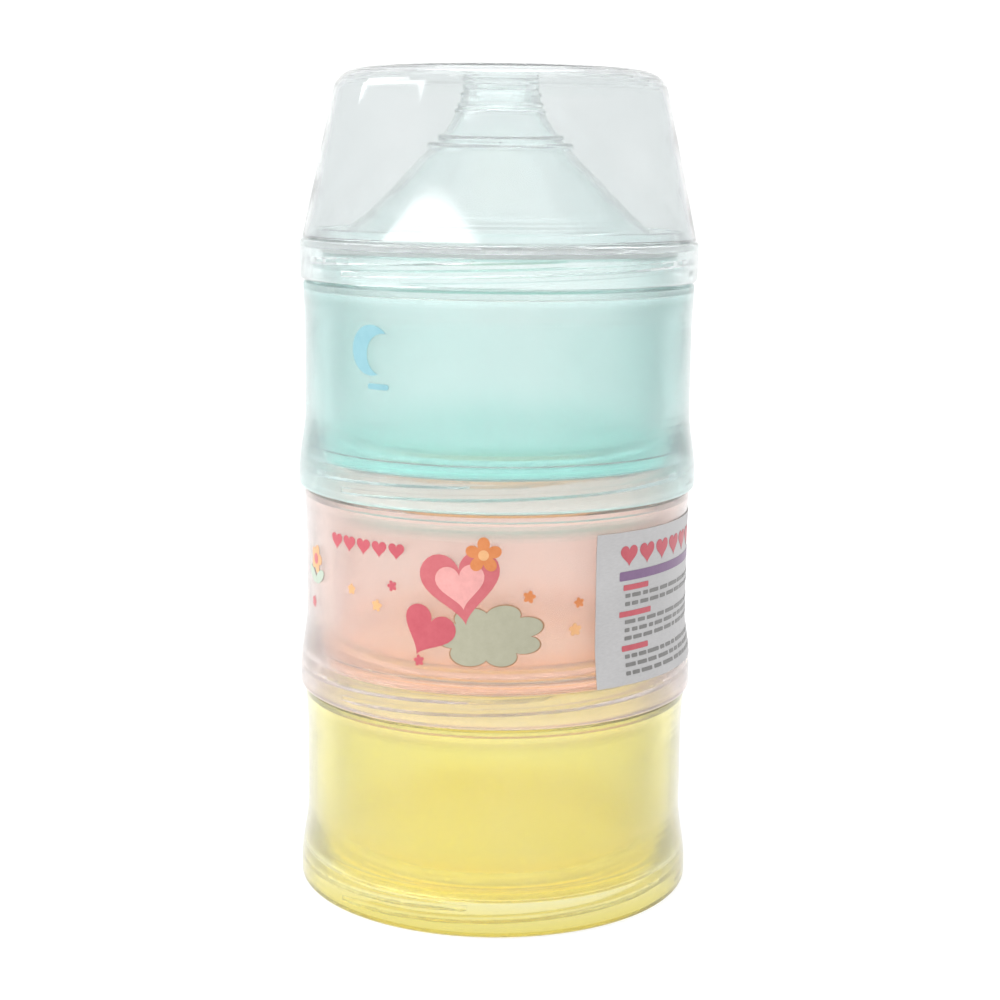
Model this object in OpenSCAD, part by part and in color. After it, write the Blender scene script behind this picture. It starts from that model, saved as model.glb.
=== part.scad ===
// Three-tier stacking dispenser for measured portions of powder.
// Origin: centre of the foot, on the surface that it stands on. +Z up, front faces -Y. Millimetres.
//
// Each tier is an inner cup bonded into a waisted outer sleeve. A cup's neck carries a three-start
// thread, and the skirt of the sleeve above it, or of the funnel lid, screws down on it until a seal
// ring is pressed between the neck's rim and the floor above. A dome pushes on over the funnel lid.

/* [Tiers] */
// Distance from one skirt's lower edge to the next
tier_pitch = 41.5; // [38:0.5:60]
// Outside radius of a skirt
skirt_r = 40.6; // [40.2:0.05:41]
// Outside radius at the waist
waist_r = 39.2; // [39:0.05:39.4]
// Outside radius of the straight part of the inner cup
cup_r = 34.2; // [33.8:0.1:34.6]
// Wall thickness of the inner cup
cup_wall = 1.5; // [1.2:0.1:1.8]

/* [Screw joint] */
// Root radius of the neck, between its threads
neck_r = 36; // [35.9:0.05:36.1]
// Height of the neck above the shoulder that the next skirt meets
neck_h = 5.48; // [5.4:0.02:5.5]
// Inside radius of a skirt, between its threads
socket_r = 38; // [37.95:0.05:38.1]
// Distance between neighbouring ridges
ridge_pitch = 2.4; // [2.3:0.05:2.6]
// Number of separate ridges that start round the neck
starts = 3; // [3:1:3]

/* [Funnel lid and dome] */
// Overall height, to the top of the dome
total_h = 165.6; // [165.2:0.2:167]
// Outside radius at the dome's lower edge
dome_base_r = 39.7; // [39.5:0.05:39.8]
// Outside radius where the dome's wall meets its rounded top edge
dome_top_r = 33.4; // [32:0.1:34]
// Radius of the dome's rounded top edge
dome_round = 5; // [4:0.5:7]
// Wall thickness of the dome
dome_wall = 1.3; // [1.2:0.1:1.5]
// Radius of the hole in the spout
spout_bore_r = 6.1; // [5.9:0.05:6.2]
// Radius that the flare narrows to at the spout
spout_r = 7; // [6.9:0.05:7.1]

/* [Label] */
// Angle from the front to the label's left edge
label_from = 29; // [20:1:60]
// Angle that the label covers
label_sweep = 76; // [40:1:90]
// Height of the label's lower edge above the skirt's
label_low = 6.8; // [6:0.2:9]
// Height of the label
label_h = 30; // [20:1:30]

/* [Hidden] */

$fn = 96;

// Where each screw joint's skirt begins, from the foot up
joint_z = [for (i = [0:3]) i * tier_pitch];

// Screw joint, measured from a skirt's lower edge
lead = ridge_pitch * starts;
ridge_root_w = 1.5;
ridge_crest_w = 0.7;
neck_crest_r = neck_r + 1.5;
socket_crest_r = neck_r + 0.45;
neck_ridge_z = 1.15;
neck_ridge_rise = 3.4;
socket_ridge_z = 1.95;
socket_ridge_rise = 3.25;
embed = 0.4;
ridge_step = 6;

// Floor of a cup and underside of the funnel lid
floor_z = 6.4;
floor_t = 1.4;
floor_r = 36.4;
neck_inner_r = 33.6;
plug_outer_r = 33.2;
plug_inner_r = 31.8;
plug_drop = 1.35;
seal_gap = 0.01;

// Shoulder that closes the top of the sleeve
shoulder_r = 39.5;
shoulder_t = 1.5;
shoulder_gap = 0.3;
shoulder_top = tier_pitch - shoulder_gap;
flare_h = 5.2;

// Sleeve
skirt_top = 2.5;
waist_low = 16;
waist_high = 33;
sleeve_wall = 1.7;
collar_t = 1.8;
fit_gap = 0.06;

// Funnel lid, measured from its skirt's lower edge
lid_h = 8;
lid_r = 40.15;
spigot_h = 2;
spigot_t = 1.3;
spigot_gap = 0.12;
flare_r = 22;
flare_z = 41.9;
foot_r = 29;
foot_angle = 22;
funnel_foot_r = 26;
funnel_wall = 1.3;

// Dome
dome_z = joint_z[3] + lid_h + 0.15;
dome_top_z = total_h - dome_wall;
dome_side_h = total_h - dome_round - dome_z;
dome_lean = atan((dome_base_r - dome_top_r) / dome_side_h);

// Spout and its cap
cap_t = 2.3;
cap_gap = 0.25;
cap_lip_r = 7.6;
cap_z = dome_top_z - cap_gap - cap_t;
plug_len = 2.6;
bore_len = 3;
tip_z = cap_z - joint_z[3] - 0.05;

mint = [0.62, 0.87, 0.85];
peach = [0.93, 0.76, 0.68];
yellow = [0.95, 0.88, 0.50];
clear = [0.92, 0.96, 0.96, 0.35];
silicone = [0.93, 0.94, 0.93];
foil = [0.80, 0.79, 0.78];

// Points on an arc, from angle a to angle b
function arc(x, y, r, a, b, n = 8) =
    [for (i = [0:n]) let (t = a + (b - a) * i / n) [x + r * cos(t), y + r * sin(t)]];

// Points on a smooth S between two points of an outline, one above the other
function ease(p, q, n = 8) =
    [for (i = [0:n]) let (t = i / n) [p.x + (q.x - p.x) * smooth(t), p.y + (q.y - p.y) * t]];

// Share of an S curve reached at a share t of its height
function smooth(t) = (1 - cos(180 * t)) / 2;

function shifted(points, dx) = [for (p = points) [p.x + dx, p.y]];
function flipped(points) = [for (i = [len(points) - 1:-1:0]) points[i]];

// A ridge wound round the axis, its section narrowing from the wall to its crest, its ends run out
module ridge(inner_r, outer_r, inner_w, outer_w, z, rise, crest_is_outer) {
    n = ceil(rise / lead * 360 / ridge_step);
    fade = [for (i = [0:n]) min(1, 0.2 + 0.4 * min(i, n - i))];
    points = [for (i = [0:n])
        let (a = 360 * rise / lead * i / n, h = z + rise * i / n, f = fade[i],
             ro = crest_is_outer ? inner_r + embed + (outer_r - inner_r - embed) * f : outer_r,
             ri = crest_is_outer ? inner_r : outer_r - embed + (inner_r - outer_r + embed) * f)
        for (s = [[ri, -inner_w / 2], [ro, -outer_w / 2], [ro, outer_w / 2], [ri, inner_w / 2]])
            [s[0] * cos(a), s[0] * sin(a), h + s[1]]];
    sides = [for (i = [0:n - 1], k = [0:3])
        let (a = 4 * i + k, b = 4 * i + (k + 1) % 4)
        for (t = [[a, b, b + 4], [a, b + 4, a + 4]]) t];
    ends = [[0, 2, 1], [0, 3, 2], [4 * n, 4 * n + 1, 4 * n + 2], [4 * n, 4 * n + 2, 4 * n + 3]];
    polyhedron(points, concat(sides, ends));
}

module neck_ridges() {
    for (i = [0:starts - 1]) rotate([0, 0, 360 / starts * i])
        ridge(neck_r - embed, neck_crest_r, ridge_root_w, ridge_crest_w, neck_ridge_z, neck_ridge_rise, true);
}

// Turned so that they lie midway between the neck's ridges when the joint is closed
module socket_ridges() {
    turn = (socket_ridge_z - neck_ridge_z - ridge_pitch / 2) / lead * 360;
    for (i = [0:starts - 1]) rotate([0, 0, turn + 360 / starts * i])
        ridge(socket_crest_r, socket_r + embed, ridge_crest_w, ridge_root_w,
              socket_ridge_z, socket_ridge_rise, false);
}

function sleeve_outline() = concat(
    arc(skirt_r - 0.7, 0.7, 0.7, -90, 0, 4),
    ease([skirt_r, skirt_top], [waist_r, waist_low]),
    ease([waist_r, waist_high], [shoulder_r, shoulder_top - shoulder_t - 0.02], 5));

module sleeve() {
    top = shoulder_top - shoulder_t - 0.02;
    inner_r = waist_r - sleeve_wall;
    union() {
        rotate_extrude() polygon(concat(
            [[socket_r + 0.4, 0]],
            sleeve_outline(),
            [[inner_r + 0.3, top], [inner_r, top - 0.3], [inner_r, floor_z + collar_t + 0.5],
             [floor_r + fit_gap, floor_z + collar_t], [floor_r + fit_gap, floor_z - 0.05],
             [socket_r, floor_z - 0.05], [socket_r, 0.4]]));
        socket_ridges();
    }
}

// The ring below a floor, or the lid's deck, that enters the mouth of the cup below
function plug_outline() =
    let (low = floor_z - plug_drop)
    [[plug_inner_r, floor_z], [plug_inner_r + 0.3, low], [plug_outer_r - 0.3, low],
     [plug_outer_r, low + 0.4], [plug_outer_r, floor_z]];

module cup() {
    inner_r = cup_r - cup_wall;
    top = tier_pitch + neck_h;
    under = shoulder_top - shoulder_t;
    floor_top = floor_z + floor_t;
    union() {
        rotate_extrude() polygon(concat(
            [[0, floor_z]],
            plug_outline(),
            [[floor_r, floor_z], [floor_r, floor_top]],
            arc(cup_r + 1.2, floor_top + 1.2, 1.2, -90, -180, 4),
            ease([cup_r, under - flare_h], [waist_r - sleeve_wall - 0.25, under], 6),
            [[shoulder_r, under], [shoulder_r, shoulder_top - 0.4], [shoulder_r - 0.4, shoulder_top],
             [neck_r, shoulder_top], [neck_r, top - 0.5], [neck_r - 0.5, top],
             [neck_inner_r + 0.3, top], [neck_inner_r, top - 0.3], [neck_inner_r, shoulder_top]],
            ease([neck_inner_r, shoulder_top - 2], [inner_r, under - flare_h], 6),
            arc(inner_r - 4, floor_top + 4, 4, 0, -90, 8),
            [[0, floor_top]]));
        translate([0, 0, tier_pitch]) neck_ridges();
    }
}

module seal_ring() {
    low = neck_h + seal_gap;
    high = floor_z - seal_gap;
    rotate_extrude() polygon([
        [plug_outer_r + 0.1, low + 0.15], [plug_outer_r + 0.25, low], [neck_r + 0.05, low],
        [neck_r + 0.2, low + 0.15], [neck_r + 0.2, high], [plug_outer_r + 0.1, high]]);
}

// A sticker that follows the sleeve's wall
module label() {
    thickness = 0.12;
    lift = 0.05;
    wall = [for (i = [0:8]) let (z = label_low + (waist_low - label_low) * i / 8) [sleeve_r(z), z]];
    inside = concat(wall, [[waist_r, waist_high], [sleeve_r(label_low + label_h), label_low + label_h]]);
    rotate([0, 0, label_from - 90]) rotate_extrude(angle = label_sweep)
        polygon(concat(shifted(inside, lift), flipped(shifted(inside, lift + thickness))));
}

// Outside radius of the sleeve at a height on or above the skirt
function sleeve_r(z) =
    z < waist_low ? skirt_r + (waist_r - skirt_r) * smooth((z - skirt_top) / (waist_low - skirt_top)) :
    z < waist_high ? waist_r :
    waist_r + (shoulder_r - waist_r) * smooth((z - waist_high) / (shoulder_top - shoulder_t - waist_high));

// The funnel's outline from the deck to the spout, a distance d inside its outer face: a curve at the
// foot, a short 45 degree cone, and a flare that rises to the spout
function funnel_outline(d) =
    let (cone_z = flare_z - flare_r * sin(45) - (funnel_foot_r - spout_r - flare_r + flare_r * cos(45)))
    concat(arc(funnel_foot_r + foot_r * cos(45), cone_z + foot_r * sin(45), foot_r + d,
               225 + foot_angle, 225, 8),
           arc(spout_r + flare_r, flare_z, flare_r + d, 225, flare_top_angle(d), 12));

// Where the flare's outer face reaches the spout's tip, and its inner face the bore
function flare_top_angle(d) = 180 + asin((flare_z - tip_z + (d > 0 ? bore_len + 1 : 0)) / (flare_r + d));

// Height of the flare's outer face at a radius
function flare_height(r) = flare_z - sqrt(flare_r * flare_r - pow(spout_r + flare_r - r, 2));
function flare_radius(z) = spout_r + flare_r - sqrt(flare_r * flare_r - pow(flare_z - z, 2));

module funnel_lid() {
    union() {
        rotate_extrude() polygon(concat(
            [[socket_r + 0.4, 0]],
            arc(lid_r - 0.7, 0.7, 0.7, -90, 0, 4),
            arc(lid_r - 0.6, lid_h - 0.6, 0.6, 0, 90, 4),
            spigot_outline(),
            funnel_outline(0),
            [[spout_bore_r + 0.3, tip_z], [spout_bore_r, tip_z - 0.3], [spout_bore_r, tip_z - bore_len]],
            flipped(funnel_outline(funnel_wall)),
            plug_outline(),
            [[socket_r, floor_z], [socket_r, 0.4]]));
        socket_ridges();
        spout_rings();
    }
}

// Grip rings below the cap, and two steps lower down that rest in a bottle's mouth
module spout_rings() {
    for (drop = [0.9, 2.8, 4]) ring_at(flare_radius(tip_z - drop), tip_z - drop, 0.45);
    for (r = [12, 14]) ring_at(r, flare_height(min(r, spout_r + flare_r * (1 - cos(45)))), 0.6);
}

module ring_at(r, z, size) { translate([0, 0, z]) rotate_extrude() translate([r, 0]) circle(r = size); }

module spout_cap() {
    r = spout_bore_r - 0.05;
    rotate_extrude() polygon(concat(
        [[0, 0.9], [r - 1.2, 0.9], [r - 1.2, -plug_len], [r - 0.5, -plug_len],
         [r, -plug_len + 0.6], [r, 0]],
        arc(cap_lip_r - 0.3, 0.3, 0.3, -90, 0, 3),
        arc(cap_lip_r - 0.7, cap_t - 0.7, 0.7, 0, 90, 4),
        [[3, cap_t], [2.6, cap_t - 0.4], [0, cap_t - 0.4]]));
}

// Radius of the dome's inner wall at a height above its lower edge
function dome_inner_r(h) = dome_base_r - dome_wall / cos(dome_lean) - h * tan(dome_lean);

// The low ring on the lid that enters the dome, tapered to its wall
function spigot_outline() =
    let (low = dome_inner_r(0.15) - spigot_gap, top = dome_inner_r(spigot_h) - spigot_gap)
    [[low, lid_h], [top, lid_h + spigot_h - 0.3], [top - 0.3, lid_h + spigot_h],
     [top - spigot_t, lid_h + spigot_h], [top - spigot_t, lid_h]];

module dome_cover() {
    top_x = dome_top_r - dome_round * cos(dome_lean);
    inner_round = dome_round - dome_wall;
    rotate_extrude() polygon(concat(
        [[0, dome_top_z]],
        arc(top_x, total_h - dome_round, inner_round, 90, dome_lean, 8),
        [[dome_inner_r(0.3), dome_z + 0.3], [dome_inner_r(0) + 0.2, dome_z]],
        arc(dome_base_r - 0.3, dome_z + 0.3, 0.3, -90, 0, 3),
        arc(top_x, total_h - dome_round, dome_round, dome_lean, 90, 10),
        [[0, total_h]]));
}

module at_joint(i) { translate([0, 0, joint_z[i]]) children(); }

color(yellow) sleeve();  // base_sleeve
color(yellow) cup();  // base_cup
color(silicone) at_joint(1) seal_ring();  // lower_seal_ring
color(peach) at_joint(1) sleeve();  // middle_sleeve
color(peach) at_joint(1) cup();  // middle_cup
color(foil) at_joint(1) label();  // info_label
color(silicone) at_joint(2) seal_ring();  // middle_seal_ring
color(mint) at_joint(2) sleeve();  // top_sleeve
color(mint) at_joint(2) cup();  // top_cup
color(silicone) at_joint(3) seal_ring();  // upper_seal_ring
color(clear) at_joint(3) funnel_lid();
color(clear) translate([0, 0, cap_z]) spout_cap();
color(clear) dome_cover();
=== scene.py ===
import bpy, bmesh, math, random
from mathutils import Matrix, Vector
from mathutils.bvhtree import BVHTree


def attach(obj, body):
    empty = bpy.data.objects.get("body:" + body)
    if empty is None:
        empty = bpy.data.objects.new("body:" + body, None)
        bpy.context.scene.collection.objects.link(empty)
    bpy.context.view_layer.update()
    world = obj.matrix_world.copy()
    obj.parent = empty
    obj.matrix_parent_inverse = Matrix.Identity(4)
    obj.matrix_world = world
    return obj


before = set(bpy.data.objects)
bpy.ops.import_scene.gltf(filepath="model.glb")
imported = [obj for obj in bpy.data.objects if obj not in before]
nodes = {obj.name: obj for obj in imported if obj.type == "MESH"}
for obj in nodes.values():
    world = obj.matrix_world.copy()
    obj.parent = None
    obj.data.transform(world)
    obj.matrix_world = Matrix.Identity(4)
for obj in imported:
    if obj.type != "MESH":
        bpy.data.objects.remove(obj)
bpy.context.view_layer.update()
rng = random.Random(7)
MM = 0.001           # prints are drawn in millimetres, the scene is in metres
PLASTIC_IOR = 1.49   # polypropylene
SOFT_EDGE = 32       # faces that meet at less than this angle, in degrees, are shaded as one curve


# ---------------------------------------------------------------- node helpers
def srgb(r, g, b):
    def lin(c):
        c /= 255
        return c / 12.92 if c <= 0.04045 else ((c + 0.055) / 1.055) ** 2.4
    return (lin(r), lin(g), lin(b), 1)


def paler(colour, share):
    """The colour, moved a share of the way to white."""
    return tuple(c + (1 - c) * share for c in colour[:3]) + (1,)


class Nodes:
    """A short way to write a material's node tree."""

    def __init__(self, name):
        self.mat = bpy.data.materials.new(name)
        self.mat.use_nodes = True
        self.tree = self.mat.node_tree
        self.bsdf = self.tree.nodes["Principled BSDF"]
        self.coord = self.add("ShaderNodeTexCoord").outputs["Object"]

    def add(self, kind, **settings):
        node = self.tree.nodes.new(kind)
        for key, value in settings.items():
            setattr(node, key, value)
        return node

    def link(self, source, target):
        self.tree.links.new(source, target)

    def scaled(self, x, y, z):
        node = self.add("ShaderNodeMapping")
        node.inputs["Scale"].default_value = (x, y, z)
        self.link(self.coord, node.inputs["Vector"])
        return node.outputs["Vector"]

    def noise(self, scale, detail=3.0, rough=0.5, vector=None):
        node = self.add("ShaderNodeTexNoise")
        node.inputs["Scale"].default_value = scale
        node.inputs["Detail"].default_value = detail
        node.inputs["Roughness"].default_value = rough
        self.link(vector or self.coord, node.inputs["Vector"])
        return node.outputs["Fac"]

    def ramp(self, source, low, high, out_low, out_high):
        node = self.add("ShaderNodeMapRange")
        ends = {"From Min": low, "From Max": high, "To Min": out_low, "To Max": out_high}
        for key, value in ends.items():
            node.inputs[key].default_value = value
        self.link(source, node.inputs["Value"])
        return node.outputs["Result"]

    def mix(self, fac, a, b):
        """Colour a where fac is 0 and b where it is 1. Sockets 6 and 7 are a colour mix's A and B."""
        node = self.add("ShaderNodeMix", data_type="RGBA")
        for key, value in ((0, fac), (6, a), (7, b)):
            if isinstance(value, (int, float, tuple)):
                node.inputs[key].default_value = value
            else:
                self.link(value, node.inputs[key])
        return node.outputs[2]

    def math(self, op, a, b=0.0, c=0.0):
        node = self.add("ShaderNodeMath", operation=op)
        for i, value in enumerate((a, b, c)):
            if isinstance(value, (int, float)):
                node.inputs[i].default_value = value
            else:
                self.link(value, node.inputs[i])
        return node.outputs[0]

    def bump(self, height, strength, distance, normal=None):
        node = self.add("ShaderNodeBump")
        node.inputs["Strength"].default_value = strength
        node.inputs["Distance"].default_value = distance
        self.link(height, node.inputs["Height"])
        if normal is not None:
            self.link(normal, node.inputs["Normal"])
        return node.outputs["Normal"]

    def set(self, **values):
        """Fill the shader's inputs, Base_Color for "Base Color" and so on, and return the material."""
        for key, value in values.items():
            socket = self.bsdf.inputs[key.replace("_", " ")]
            if isinstance(value, (int, float, tuple)):
                socket.default_value = value
            else:
                self.link(value, socket)
        return self.mat


# ---------------------------------------------------------------- plastics
def moulded(name, tint, edge, clear, rough, coat=0.0, painted_glow=0.012, painted_low_tint=None, painted_low_glow=0.0, reach=0.24,
            painted_rim_glow=0.0, painted_deep_glow=0.15):
    """Injection-moulded translucent plastic.

    clear is the share of light that goes through. Painted light: the plastic glows though it is no lamp, a
    little everywhere (glow), with a deeper painted tint and a stronger painted glow at a cup's floor or a
    skirt's lower edge (painted_low_tint and painted_low_glow, up to a share reach of the piece's height), and
    with a painted glow at a sleeve's top rim (painted_rim_glow). What is seen through many walls gets a paler
    colour and more painted glow (milk)."""
    n = Nodes(name)
    streaks = n.noise(1.0, 4, 0.6, n.scaled(60, 60, 14))   # longer along the height, as the plastic flowed
    cloudy = n.noise(70, 3, 0.55)
    pale = paler(tint, 0.22)
    colour = n.mix(n.ramp(n.math("ADD", streaks, cloudy), 0.7, 1.35, 0.0, 1.0), tint, pale)
    slant = n.add("ShaderNodeLayerWeight")
    slant.inputs["Blend"].default_value = 0.5
    colour = n.mix(n.math("POWER", slant.outputs["Facing"], 2.0), colour, edge)
    split = n.add("ShaderNodeSeparateXYZ")
    n.link(n.add("ShaderNodeTexCoord").outputs["Generated"], split.inputs[0])
    height = split.outputs[2]                              # 0 at the piece's foot, 1 at its top
    # Painted light near the piece's foot: the colour turns to the deeper painted tint painted_low_tint, and
    # the painted glow rises to painted_low_glow
    low = n.ramp(height, 0.2 * reach, reach, 1.0, 0.0)
    if painted_low_tint:
        colour = n.mix(low, colour, painted_low_tint)
    if painted_low_glow:
        painted_glow = n.ramp(low, 0, 1, painted_glow, painted_low_glow)
    # A painted glow in a band at the top rim
    if painted_rim_glow:
        painted_glow = n.math("ADD", painted_glow, n.ramp(height, 0.955, 0.985, 0.0, painted_rim_glow))
    # Painted light for what is seen through many walls: a paler colour and more painted glow, set by milk
    deep = n.ramp(n.add("ShaderNodeLightPath").outputs["Ray Depth"], 6, 13, 0.0, 1.0)
    colour = n.mix(deep, colour, paler(tint, 0.6))
    painted_glow = n.math("ADD", painted_glow, n.math("MULTIPLY", deep, painted_deep_glow))
    roughness = n.ramp(cloudy, 0.3, 0.7, rough * 0.85, rough * 1.2)
    normal = n.bump(n.noise(45, 1, 0.4), 0.12, 0.0004)
    # Emission is painted light: the plastic glows with its own colour though it is no lamp
    return n.set(Base_Color=colour, Roughness=roughness, Normal=normal,
                 IOR=PLASTIC_IOR, Transmission_Weight=clear,
                 Coat_Weight=coat, Coat_Roughness=0.05, Coat_IOR=PLASTIC_IOR,
                 Subsurface_Weight=0.6, Subsurface_Radius=(1.0, 1.0, 1.0), Subsurface_Scale=0.002,
                 Emission_Color=colour, Emission_Strength=painted_glow)


# The glow, painted_low_glow, painted_rim_glow and milk values below are painted light, glow from plastic that
# is no lamp; painted_low_tint is a deeper painted tint at the foot
plastics = {
    "top_cup": moulded("mint_cup", srgb(247, 252, 251), srgb(126, 220, 212), 0.93, 0.22, 0.4, painted_glow=0.022,
                       painted_low_tint=srgb(148, 224, 216), painted_low_glow=0.11),
    "top_sleeve": moulded("mint_sleeve", srgb(231, 247, 245), srgb(178, 226, 222), 0.91, 0.16, 0.5,
                          painted_low_glow=0.08, reach=0.06, painted_rim_glow=0.06),
    "middle_cup": moulded("peach_cup", srgb(250, 240, 236), srgb(240, 208, 196), 0.93, 0.15, 0.4,
                          painted_low_tint=srgb(244, 194, 158), painted_low_glow=0.075),
    "middle_sleeve": moulded("peach_sleeve", srgb(249, 234, 228), srgb(236, 214, 207), 0.91, 0.16, 0.5,
                             painted_low_glow=0.08, reach=0.06, painted_rim_glow=0.06),
    "base_cup": moulded("yellow_cup", srgb(253, 250, 212), srgb(249, 242, 152), 0.93, 0.22, 0.4,
                        painted_low_tint=srgb(245, 228, 72), painted_low_glow=0.062),
    "base_sleeve": moulded("yellow_sleeve", srgb(251, 246, 188), srgb(247, 239, 176), 0.91, 0.16, 0.5,
                           painted_low_tint=srgb(236, 225, 128), painted_low_glow=0.0, reach=0.2, painted_rim_glow=0.06),
    "dome_cover": moulded("dome_plastic", srgb(234, 237, 237), srgb(224, 229, 229), 0.96, 0.04,
                          painted_glow=0.004, painted_deep_glow=0.12),
    "clear": moulded("lid_plastic", srgb(250, 253, 253), srgb(228, 243, 241), 0.95, 0.10, painted_glow=0.030,
                     painted_low_glow=0.05, reach=0.08, painted_deep_glow=0.13)}


# ---------------------------------------------------------------- the other materials
def silicone():
    """Soft translucent rubber with a fine matt grain."""
    n = Nodes("seal_silicone")
    colour = n.mix(n.noise(200), srgb(232, 236, 234), srgb(244, 246, 245))
    return n.set(Base_Color=colour, Roughness=n.ramp(n.noise(600), 0.3, 0.7, 0.4, 0.55),
                 Transmission_Weight=0.45, Normal=n.bump(n.noise(1500), 0.1, 0.0001))


def film():
    """The sticker's plastic film, a cool grey with a faint weave."""
    n = Nodes("label_film")
    fibres = n.noise(1.0, 3, 0.6, n.scaled(900, 900, 3000))
    uneven = n.ramp(n.math("ADD", fibres, n.noise(60)), 0.7, 1.3, 0, 1)
    colour = n.mix(uneven, srgb(176, 174, 174), srgb(190, 188, 188))
    return n.set(Base_Color=colour, Roughness=n.ramp(fibres, 0.3, 0.7, 0.34, 0.5),
                 Normal=n.bump(fibres, 0.15, 0.00005))


def ink(name, colour, second=None):
    """Pad-printed ink: its colour a little uneven, its surface slightly raised and glossy."""
    n = Nodes(name)
    mottle = n.noise(450, 4, 0.7)
    lighter = second or tuple(min(1, c * 1.18) for c in colour[:3]) + (1,)
    return n.set(Base_Color=n.mix(n.ramp(mottle, 0.3, 0.7, 0, 1), colour, lighter),
                 Roughness=n.ramp(mottle, 0.3, 0.7, 0.3, 0.42), Normal=n.bump(mottle, 0.2, 0.00004))


def dress(obj, material):
    """Give a CAD node its material, and normals that keep large curved faces smooth and edges sharp."""
    obj.data.materials.clear()
    obj.data.materials.append(material)
    obj.data.shade_smooth()
    obj.data.set_sharp_from_angle(angle=math.radians(SOFT_EDGE))
    weighted = obj.modifiers.new("weighted", "WEIGHTED_NORMAL")
    weighted.keep_sharp = True


seal_silicone, label_film = silicone(), film()
for name, obj in nodes.items():
    if name.endswith("seal_ring"):
        dress(obj, seal_silicone)
    elif name == "info_label":
        dress(obj, label_film)
    else:
        dress(obj, plastics.get(name, plastics["clear"]))


# ---------------------------------------------------------------- outlines of the prints, in millimetres
def circle(r, n=28, squash=1.0):
    return [(r * math.cos(2 * math.pi * i / n), r * squash * math.sin(2 * math.pi * i / n)) for i in range(n)]


def heart(w, n=44):
    """The usual heart curve, 32 units wide before it is scaled to w, lifted so that its bulk is centred."""
    out = []
    for i in range(n):
        t = 2 * math.pi * i / n
        up = 13 * math.cos(t) - 5 * math.cos(2 * t) - 2 * math.cos(3 * t) - math.cos(4 * t)
        out.append((w / 32 * 16 * math.sin(t) ** 3, w / 32 * up + w * 0.08))
    return out[::-1]


def petals(r, count, depth, n=60, turn=0.0):
    """A closed outline with rounded petals, for blossoms and soft stars."""
    out = []
    for i in range(n):
        t = 2 * math.pi * i / n
        q = r * (1 - depth + depth * abs(math.cos(count * (t - turn) / 2)) ** 0.8)
        out.append((q * math.cos(t), q * math.sin(t)))
    return out


def puffs(w, h, count, depth, n=110):
    """A cloud: an ellipse with rounded puffs of uneven size."""
    out = []
    for i in range(n):
        t = 2 * math.pi * i / n
        puff = abs(math.sin(count * t / 2 + 0.5 * math.sin(t))) ** 0.7
        q = 1 + depth * (puff - 0.5) + 0.07 * math.sin(2 * t + 0.6)
        out.append((w / 2 * q * math.cos(t), h / 2 * q * math.sin(t)))
    return out


def bar(w, h, r=None):
    """A rectangle with rounded corners, or with round ends if no corner radius is given."""
    r = min(w, h) / 2 if r is None else r
    x, y = w / 2 - r, h / 2 - r
    corners = [(x, y, 0), (-x, y, 90), (-x, -y, 180), (x, -y, 270)]
    points = [(cx + r * math.cos(math.radians(a + b)), cy + r * math.sin(math.radians(a + b)))
              for cx, cy, a in corners for b in (0, 30, 60, 90)]
    return [p for i, p in enumerate(points) if math.dist(p, points[i - 1]) > 1e-6]


def with_mirror(points):
    """A closed outline that crosses x = 0, joined there to its mirror image."""
    half = []
    for (x, y), (next_x, next_y) in zip(points, points[1:] + points[:1]):
        if x > 0:
            half.append((x, y))
        if x * next_x < 0:
            half.append((0, y + (next_y - y) * x / (x - next_x)))
    start = max(i for i, p in enumerate(half) if p[0] == 0)
    half = half[start:] + half[:start]
    return half + [(-x, y) for x, y in reversed(half[1:-1])]


def placed(points, x=0.0, y=0.0, turn=0.0, scale=1.0):
    c, s = math.cos(math.radians(turn)) * scale, math.sin(math.radians(turn)) * scale
    return [(x + c * u - s * v, y + s * u + c * v) for u, v in points]


def crescent(r, bite=0.62, n=20):
    """A moon, open to the right: most of a circle, and back along one whose centre is bite radii over."""
    tip, sweep = 55, 250
    turns = [math.radians(tip + sweep * i / n) for i in range(n + 1)]
    outer = [(r * math.cos(t), r * math.sin(t)) for t in turns]
    x, y = outer[0]
    inner_r = math.hypot(x - bite * r, y)
    half = math.degrees(math.atan2(y, x - bite * r))
    back = [math.radians(360 - half - (360 - 2 * half) * i / n) for i in range(1, n)]
    return outer + [(bite * r + inner_r * math.cos(t), inner_r * math.sin(t)) for t in back]


def dashes(x, y, width, size):
    """A line of small print: dashes of uneven length standing for words."""
    out = []
    end = x + width
    while x < end - 1.5:
        w = min(rng.uniform(1.1, 4.2), end - x)
        out.append(placed(bar(w, size, 0.15), x + w / 2, y))
        x += w + rng.uniform(0.5, 0.8)
    return out


# ---------------------------------------------------------------- from an outline to a print on a wall
surfaces = {}


def wall_radius(node, azimuth, z):
    """Radius of a node's outer face at an azimuth from the front and a height, by a ray from outside."""
    if node not in surfaces:
        mesh = nodes[node].data
        corners = [v.co.copy() for v in mesh.vertices]
        surfaces[node] = BVHTree.FromPolygons(corners, [tuple(p.vertices) for p in mesh.polygons])
    out = Vector((math.sin(azimuth), -math.cos(azimuth), 0))
    outside = 0.06
    hit = surfaces[node].ray_cast(out * outside + Vector((0, 0, z)), -out)[0]
    return math.hypot(hit.x, hit.y)


def cut_into_cells(bm, cell):
    """Cut flat faces along a square grid, so that they can follow a curved wall, and into triangles."""
    span = [max(abs(v.co[i]) for v in bm.verts) for i in (0, 1)]
    for i, direction in ((0, (1, 0, 0)), (1, (0, 1, 0))):
        for k in range(-int(span[i] / cell), int(span[i] / cell) + 1):
            where = [0, 0, 0]
            where[i] = k * cell
            everything = bm.verts[:] + bm.edges[:] + bm.faces[:]
            bmesh.ops.bisect_plane(bm, geom=everything, plane_co=where, plane_no=direction, dist=1e-6)
    bmesh.ops.triangulate(bm, faces=bm.faces[:])
    bm.verts.index_update()


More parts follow.
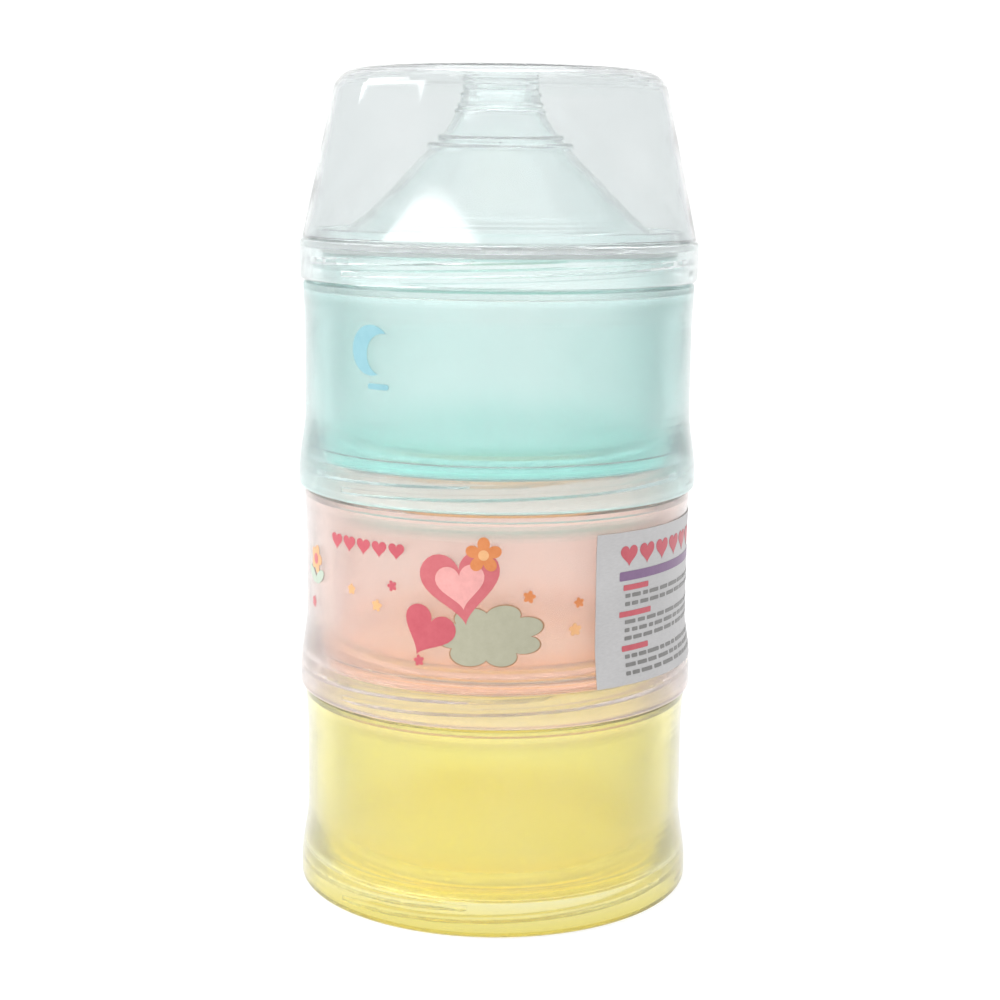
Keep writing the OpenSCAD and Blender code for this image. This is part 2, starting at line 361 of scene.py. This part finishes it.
def transfer(name, node, body, outlines, azimuth, z, material, lift=0.05, thick=0.03, cell=1.1):
    """Wrap flat outlines onto a node's outer wall as a thin closed layer of ink that rides a body.

    The middle is at an azimuth in degrees and a height in millimetres. lift is the gap to the wall."""
    bm = bmesh.new()
    for outline in outlines:
        bm.faces.new([bm.verts.new((x, y, 0)) for x, y in outline])
    cut_into_cells(bm, cell)
    mid_r = wall_radius(node, math.radians(azimuth), z * MM)
    low, high = [], []
    for v in bm.verts:
        a, h = math.radians(azimuth) + v.co.x * MM / mid_r, (z + v.co.y) * MM
        r = wall_radius(node, a, h)
        for layer, q in ((low, r + lift * MM), (high, r + (lift + thick) * MM)):
            layer.append((q * math.sin(a), -q * math.cos(a), h))
    n = len(low)
    faces = [[v.index + n for v in f.verts] for f in bm.faces]
    faces += [[v.index for v in reversed(f.verts)] for f in bm.faces]
    for loop in (e.link_loops[0] for e in bm.edges if len(e.link_faces) == 1):
        i, j = loop.vert.index, loop.link_loop_next.vert.index
        faces.append([i, j, j + n, i + n])
    bm.free()
    mesh = bpy.data.meshes.new(name)
    mesh.from_pydata(low + high, [], faces)
    mesh.materials.append(material)
    obj = bpy.data.objects.new(name, mesh)
    bpy.context.scene.collection.objects.link(obj)
    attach(obj, body)


rose = ink("ink_rose", srgb(190, 92, 98), srgb(198, 104, 110))
deep_rose = ink("ink_deep_rose", srgb(184, 76, 88), srgb(192, 88, 98))
blush = ink("ink_blush", srgb(212, 150, 146))
sage = ink("ink_sage", srgb(162, 159, 137), srgb(170, 167, 145))
sage_line = ink("ink_sage_line", srgb(150, 112, 82))
orange = ink("ink_orange", srgb(200, 118, 62), srgb(210, 132, 78))
amber = ink("ink_amber", srgb(212, 160, 110))
leaf = ink("ink_leaf", srgb(170, 182, 166))
blue = ink("ink_blue", srgb(128, 174, 184), srgb(136, 181, 190))
violet = ink("ink_violet", srgb(118, 88, 124), srgb(128, 98, 134))
charcoal = ink("ink_charcoal", srgb(112, 110, 108), srgb(124, 122, 120))

# The middle tier: hearts, a cloud and a flower, each print a little further out than the one it lies on
m = "middle_sleeve", "middle_tier"
cloud = puffs(17.5, 11.0, 7, 0.30)
transfer("print_cloud_edge", *m, [placed(cloud, scale=1.035)], -1.5, 59.6, sage_line, lift=0.05)
transfer("print_cloud", *m, [cloud], -1.5, 59.6, sage, lift=0.09)
transfer("print_heart_big", *m, [placed(heart(15.5), turn=8)], -9.5, 68.6, rose, lift=0.13)
transfer("print_heart_inner", *m, [placed(heart(9.5), turn=8)], -9.6, 68.8, blush, lift=0.17)
transfer("print_heart_small", *m, [placed(heart(10.5), turn=-24)], -19.5, 59.6, deep_rose, lift=0.15)
transfer("print_star", *m, [petals(3.5, 5, 0.5, turn=math.pi / 2)], -3.4, 75.2, orange, lift=0.21)
transfer("print_star_dot", *m, [circle(1.0)], -3.4, 75.2, amber, lift=0.25)
row = [placed(heart(3.5), x=4.0 * (i - 2)) for i in range(5)]
transfer("print_heart_row", *m, row, -40.5, 74.7, deep_rose)
blossoms = [  # azimuth, height, radius, ink
    (-45.4, 65.9, 1.1, amber), (-35.5, 63.7, 1.2, amber), (-30.2, 68.0, 1.1, deep_rose),
    (9.3, 67.2, 1.25, orange), (23.8, 65.6, 1.05, orange), (22.7, 60.4, 1.3, amber),
    (-68, 60.5, 1.2, rose), (-21.5, 54.2, 1.1, deep_rose)]
for i, (azimuth, z, size, material) in enumerate(blossoms):
    transfer(f"print_blossom_{i}", *m, [petals(size, 5, 0.5, 40, rng.random())], azimuth, z, material)
transfer("print_side_flower", *m, [petals(2.9, 5, 0.4)], -66, 69.5, amber, lift=0.05)
transfer("print_side_flower_eye", *m, [circle(1.1)], -66, 69.5, rose, lift=0.09)
leaves = with_mirror(placed(circle(2.4, squash=0.45), 1.9, 0.9, 32))
transfer("print_side_leaves", *m, [leaves], -66, 65.2, leaf, lift=0.09)

# The top tier: a faint moon over a bar
transfer("print_moon", "top_sleeve", "top_tier", [placed(crescent(4.8), turn=-14)], -37.5, 112.6, blue)
transfer("print_moon_bar", "top_sleeve", "top_tier", [bar(5.0, 1.1)], -35, 105.8, blue)

# The sticker: a heading of hearts, a violet bar, and three blocks of small print
label = "info_label", "middle_tier"
centre, middle = 67, 63.3
left, right = -20.6, 22.5
hearts = [placed(heart(4.5), left + 2.4 + 5.2 * i, 73.5 - middle) for i in range(6)]
rule = placed(bar(right - left, 1.8, 0.3), (left + right) / 2, 69.6 - middle)
titles, lines = [], []
indent = 1.6
z = 67.3
for count in (2, 3, 3):
    titles.append(placed(bar(rng.uniform(7, 10), 1.1, 0.2), left + 4.6, z - middle))
    for _ in range(count):
        z -= 1.62
        lines += dashes(left + indent, z - middle, rng.uniform(0.72, 1.0) * (right - left - indent), 0.75)
    z -= 1.95
for name, outlines, material in (("label_hearts", hearts, deep_rose), ("label_bar", [rule], violet),
                                 ("label_titles", titles, deep_rose), ("label_lines", lines, charcoal)):
    transfer(name, *label, outlines, centre, middle, material, lift=0.03)


# ---------------------------------------------------------------- studio
def area(name, at, look, size, power, tilt=0.0):
    """A softbox at a place, aimed at a point and turned by tilt degrees about its own axis."""
    data = bpy.data.lights.new(name, "AREA")
    data.shape, data.size, data.size_y, data.energy = "RECTANGLE", size[0], size[1], power
    light = bpy.data.objects.new(name, data)
    light.location = at
    aim = (Vector(look) - Vector(at)).to_track_quat("-Z", "Y").to_matrix()
    light.rotation_euler = (aim @ Matrix.Rotation(math.radians(tilt), 3, "Z")).to_euler()
    bpy.context.scene.collection.objects.link(light)


def room(dim, white):
    """An even pale surround, a little dim in reflections and through plastic, and white seen directly."""
    world = bpy.data.worlds.new("studio")
    bpy.context.scene.world = world
    world.use_nodes = True
    tree = world.node_tree
    sky = tree.nodes["Background"]
    sky.inputs["Color"].default_value = (0.97, 0.99, 1, 1)
    direct = tree.nodes.new("ShaderNodeLightPath").outputs["Is Camera Ray"]
    strength = tree.nodes.new("ShaderNodeMapRange")
    strength.inputs["To Min"].default_value = dim
    strength.inputs["To Max"].default_value = white
    tree.links.new(direct, strength.inputs["Value"])
    tree.links.new(strength.outputs["Result"], sky.inputs["Strength"])


def backdrop(front=-1.2, bend=0.9, bend_r=0.5, top=1.5, half_width=0.75, gap=0.0002, steps=12):
    """A white paper sweep: a floor just under the foot, a quarter bend behind the object, and a wall."""
    turns = [math.radians(90 / steps * i) for i in range(1, steps + 1)]
    profile = [(front, -gap), (bend, -gap)]
    profile += [(bend + bend_r * math.sin(a), bend_r - bend_r * math.cos(a)) for a in turns]
    profile += [(bend + bend_r, top)]
    verts = [(x, y, z) for y, z in profile for x in (-half_width, half_width)]
    faces = [(2 * i, 2 * i + 1, 2 * i + 3, 2 * i + 2) for i in range(len(profile) - 1)]
    mesh = bpy.data.meshes.new("backdrop")
    mesh.from_pydata(verts, [], faces)
    mesh.shade_smooth()
    obj = bpy.data.objects.new("backdrop", mesh)
    bpy.context.scene.collection.objects.link(obj)
    n = Nodes("backdrop_paper")
    paper = n.mix(n.noise(6), (0.23, 0.23, 0.23, 1), (0.26, 0.26, 0.26, 1))
    mesh.materials.append(n.set(Base_Color=paper, Roughness=0.9,
                                Emission_Color=(1, 1, 1, 1), Emission_Strength=0.82))


def view(distance, height, down, roll, lens):
    """A camera in front of the object, looking down by an angle in radians."""
    data = bpy.data.cameras.new("camera")
    camera = bpy.data.objects.new("camera", data)
    bpy.context.scene.collection.objects.link(camera)
    data.lens, data.sensor_width, data.clip_start = lens, 36, 0.01
    camera.location = (0, -distance, height)
    camera.rotation_euler = (math.pi / 2 - down, roll, 0)
    bpy.context.scene.camera = camera


area("key", (-0.664, -0.688, 0.425), (0, 0, 0.133), (1.25, 0.17), 3.3, tilt=6)
area("left", (-1.0, -0.12, 0.786), (0, -0.12, 0.786), (1.10, 0.45), 8, tilt=12.7)
area("top", (0, 0.1, 1.2), (0, 0.1, 0), (1.0, 1.0), 3)
room(dim=0.95, white=1.2)
backdrop()
view(distance=0.380, height=0.145, down=0.1722, roll=math.radians(-0.6), lens=67.0)

# Light passes through up to a dozen walls of plastic before it leaves the stack
scene = bpy.context.scene
scene.view_settings.view_transform = "Standard"
scene.cycles.max_bounces = 20
scene.cycles.diffuse_bounces = 8
scene.cycles.glossy_bounces = 10
scene.cycles.transmission_bounces = 18
scene.cycles.transparent_max_bounces = 8
